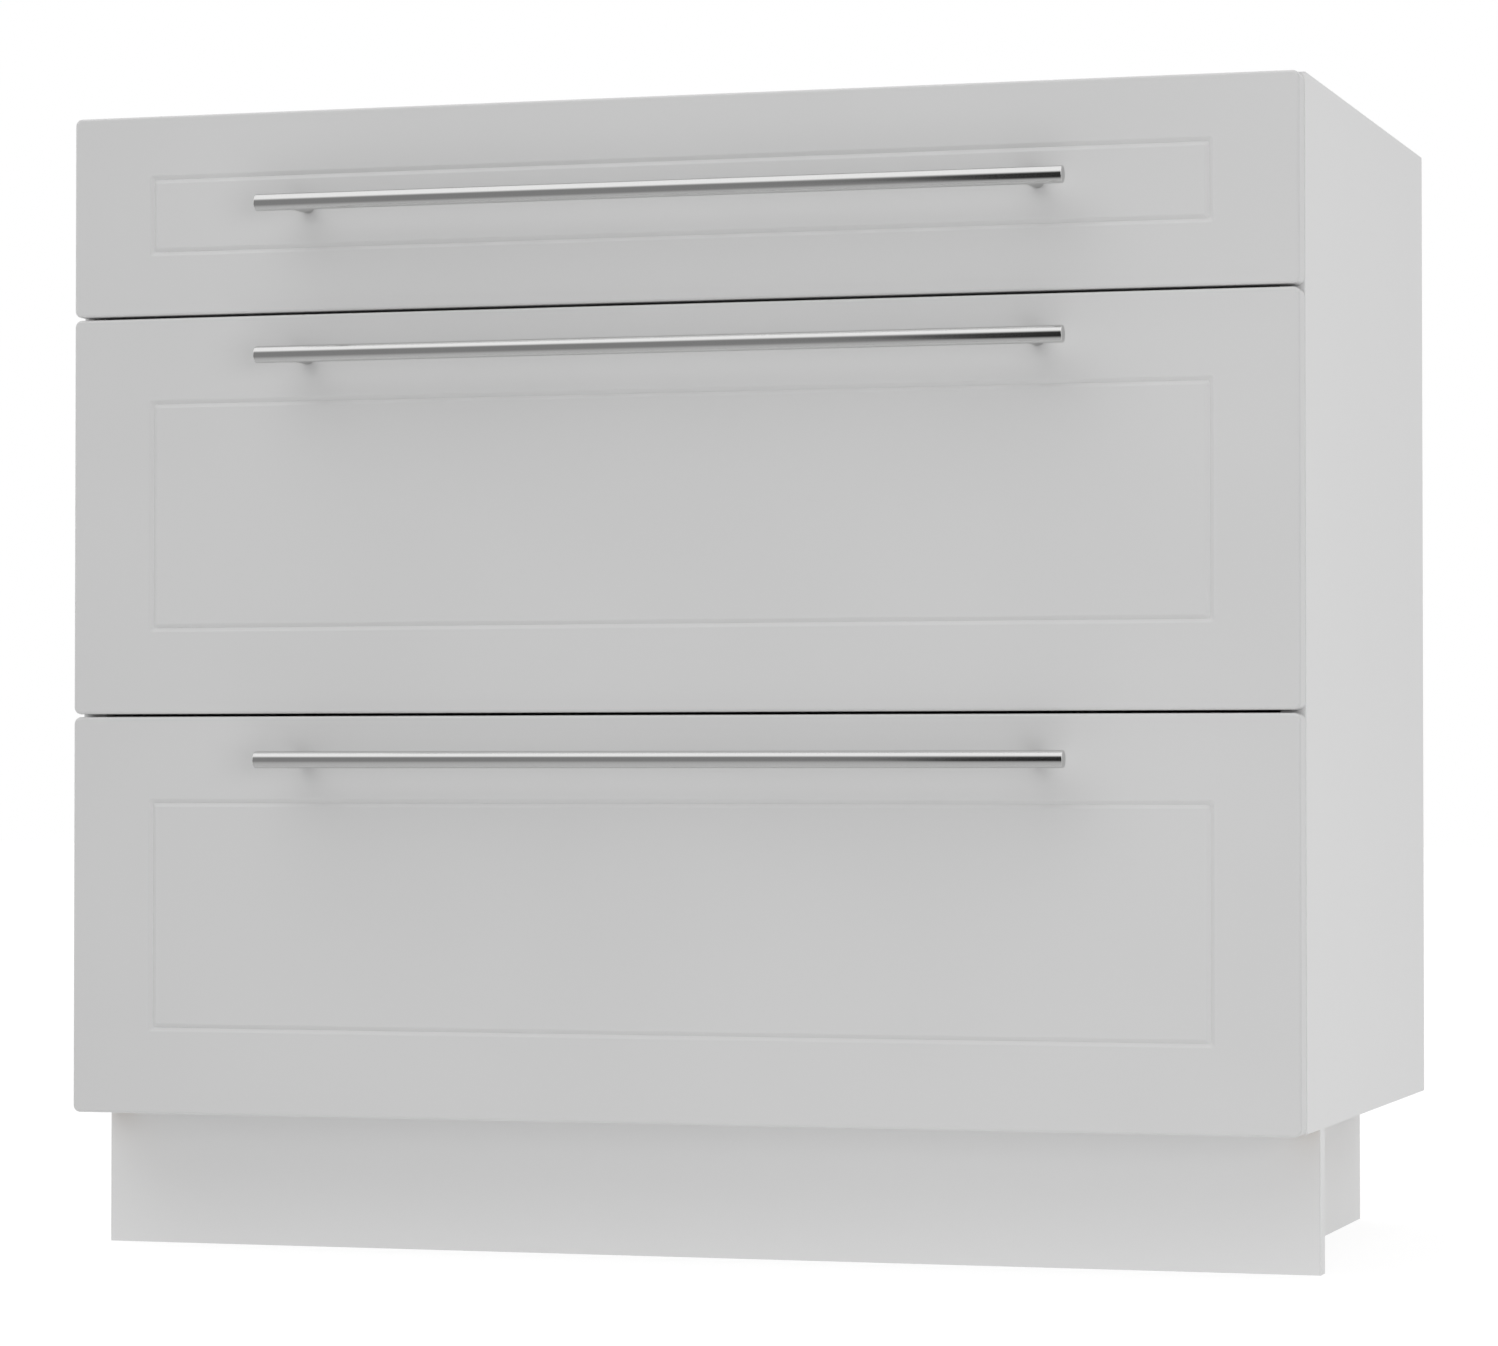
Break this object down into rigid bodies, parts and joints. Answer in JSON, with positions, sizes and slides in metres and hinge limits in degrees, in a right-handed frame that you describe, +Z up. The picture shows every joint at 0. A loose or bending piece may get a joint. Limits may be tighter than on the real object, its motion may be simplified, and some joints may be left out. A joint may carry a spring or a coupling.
{
  "type": "base cabinet with drawers",
  "caption": "Kitchen base cabinet on a set-back plinth: a shallow drawer over deep ones, each with a bar handle and ball-bearing runners.",
  "frame": {"origin": "on the floor, at the centre of the footprint of the carcass and handles together", "axes": "+X along the width, +Y towards the wall behind, +Z up"},
  "size_m": [0.9, 0.555, 0.82],
  "materials": {
    "front_foil": "matt foil on fibreboard",
    "carcass_melamine": "fine-textured melamine on chipboard",
    "drawer_melamine": "smooth melamine on chipboard",
    "hardboard": "lacquered on one face, brown behind",
    "handle_steel": "satin, brushed round the bar",
    "runner_zinc": "bright zinc plate",
    "ball_cage_steel": "bare rolled steel",
    "screw_zinc": "zinc plate",
    "cam_zinc": "die-cast zinc",
    "beech": "turned beech",
    "buffer_rubber": "translucent soft disc"
  },
  "bodies": {
    "carcass": {"left_side_panel": "carcass_melamine", "right_side_panel": "carcass_melamine", "bottom_panel": "carcass_melamine", "front_rail": "carcass_melamine", "rear_rail": "carcass_melamine", "back_panel": "hardboard", "plinth_front": "carcass_melamine", "plinth_left_return": "carcass_melamine", "plinth_right_return": "carcass_melamine", "cam_locks": "cam_zinc", "cam_bolts": "screw_zinc", "wood_dowels": "beech", "runner_cabinet_members": "runner_zinc", "runner_cabinet_screws": "screw_zinc", "buffer_pads": "buffer_rubber"},
    "upper_drawer": {"upper_front": "front_foil", "upper_handle_bar": "handle_steel", "upper_handle_posts": "handle_steel", "upper_handle_screws": "screw_zinc", "upper_box_left_side": "drawer_melamine", "upper_box_right_side": "drawer_melamine", "upper_box_inner_front": "drawer_melamine", "upper_box_back": "drawer_melamine", "upper_box_bottom": "hardboard", "upper_box_screws": "screw_zinc", "upper_runner_drawer_members": "runner_zinc", "upper_runner_drawer_screws": "screw_zinc"},
    "upper_intermediate_members": {"upper_runner_intermediate_members": "runner_zinc"},
    "upper_outer_ball_cages": {"upper_runner_outer_ball_cages": "ball_cage_steel"},
    "upper_inner_ball_cages": {"upper_runner_inner_ball_cages": "ball_cage_steel"},
    "centre_drawer": {"centre_front": "front_foil", "centre_handle_bar": "handle_steel", "centre_handle_posts": "handle_steel", "centre_handle_screws": "screw_zinc", "centre_box_left_side": "drawer_melamine", "centre_box_right_side": "drawer_melamine", "centre_box_inner_front": "drawer_melamine", "centre_box_back": "drawer_melamine", "centre_box_bottom": "hardboard", "centre_box_screws": "screw_zinc", "centre_runner_drawer_members": "runner_zinc", "centre_runner_drawer_screws": "screw_zinc"},
    "centre_intermediate_members": {"centre_runner_intermediate_members": "runner_zinc"},
    "centre_outer_ball_cages": {"centre_runner_outer_ball_cages": "ball_cage_steel"},
    "centre_inner_ball_cages": {"centre_runner_inner_ball_cages": "ball_cage_steel"},
    "lower_drawer": {"lower_front": "front_foil", "lower_handle_bar": "handle_steel", "lower_handle_posts": "handle_steel", "lower_handle_screws": "screw_zinc", "lower_box_left_side": "drawer_melamine", "lower_box_right_side": "drawer_melamine", "lower_box_inner_front": "drawer_melamine", "lower_box_back": "drawer_melamine", "lower_box_bottom": "hardboard", "lower_box_screws": "screw_zinc", "lower_runner_drawer_members": "runner_zinc", "lower_runner_drawer_screws": "screw_zinc"},
    "lower_intermediate_members": {"lower_runner_intermediate_members": "runner_zinc"},
    "lower_outer_ball_cages": {"lower_runner_outer_ball_cages": "ball_cage_steel"},
    "lower_inner_ball_cages": {"lower_runner_inner_ball_cages": "ball_cage_steel"}
  },
  "joints": [
    {"name": "upper_drawer_slide", "type": "slide", "parent": "carcass", "child": "upper_drawer", "axis": [0, -1, 0], "range_m": [0, 0.45]},
    {"name": "upper_intermediate_members_slide", "type": "slide", "parent": "carcass", "child": "upper_intermediate_members", "axis": [0, -1, 0], "range_m": [0, 0.225]},
    {"name": "upper_outer_ball_cages_slide", "type": "slide", "parent": "carcass", "child": "upper_outer_ball_cages", "axis": [0, -1, 0], "range_m": [0, 0.1125]},
    {"name": "upper_inner_ball_cages_slide", "type": "slide", "parent": "carcass", "child": "upper_inner_ball_cages", "axis": [0, -1, 0], "range_m": [0, 0.3375]},
    {"name": "centre_drawer_slide", "type": "slide", "parent": "carcass", "child": "centre_drawer", "axis": [0, -1, 0], "range_m": [0, 0.45]},
    {"name": "centre_intermediate_members_slide", "type": "slide", "parent": "carcass", "child": "centre_intermediate_members", "axis": [0, -1, 0], "range_m": [0, 0.225]},
    {"name": "centre_outer_ball_cages_slide", "type": "slide", "parent": "carcass", "child": "centre_outer_ball_cages", "axis": [0, -1, 0], "range_m": [0, 0.1125]},
    {"name": "centre_inner_ball_cages_slide", "type": "slide", "parent": "carcass", "child": "centre_inner_ball_cages", "axis": [0, -1, 0], "range_m": [0, 0.3375]},
    {"name": "lower_drawer_slide", "type": "slide", "parent": "carcass", "child": "lower_drawer", "axis": [0, -1, 0], "range_m": [0, 0.45]},
    {"name": "lower_intermediate_members_slide", "type": "slide", "parent": "carcass", "child": "lower_intermediate_members", "axis": [0, -1, 0], "range_m": [0, 0.225]},
    {"name": "lower_outer_ball_cages_slide", "type": "slide", "parent": "carcass", "child": "lower_outer_ball_cages", "axis": [0, -1, 0], "range_m": [0, 0.1125]},
    {"name": "lower_inner_ball_cages_slide", "type": "slide", "parent": "carcass", "child": "lower_inner_ball_cages", "axis": [0, -1, 0], "range_m": [0, 0.3375]}
  ],
  "couplings": [
    {"joint": "upper_intermediate_members_slide", "follows": "upper_drawer_slide", "ratio": 0.5},
    {"joint": "upper_outer_ball_cages_slide", "follows": "upper_drawer_slide", "ratio": 0.25},
    {"joint": "upper_inner_ball_cages_slide", "follows": "upper_drawer_slide", "ratio": 0.75},
    {"joint": "centre_intermediate_members_slide", "follows": "centre_drawer_slide", "ratio": 0.5},
    {"joint": "centre_outer_ball_cages_slide", "follows": "centre_drawer_slide", "ratio": 0.25},
    {"joint": "centre_inner_ball_cages_slide", "follows": "centre_drawer_slide", "ratio": 0.75},
    {"joint": "lower_intermediate_members_slide", "follows": "lower_drawer_slide", "ratio": 0.5},
    {"joint": "lower_outer_ball_cages_slide", "follows": "lower_drawer_slide", "ratio": 0.25},
    {"joint": "lower_inner_ball_cages_slide", "follows": "lower_drawer_slide", "ratio": 0.75}
  ]
}
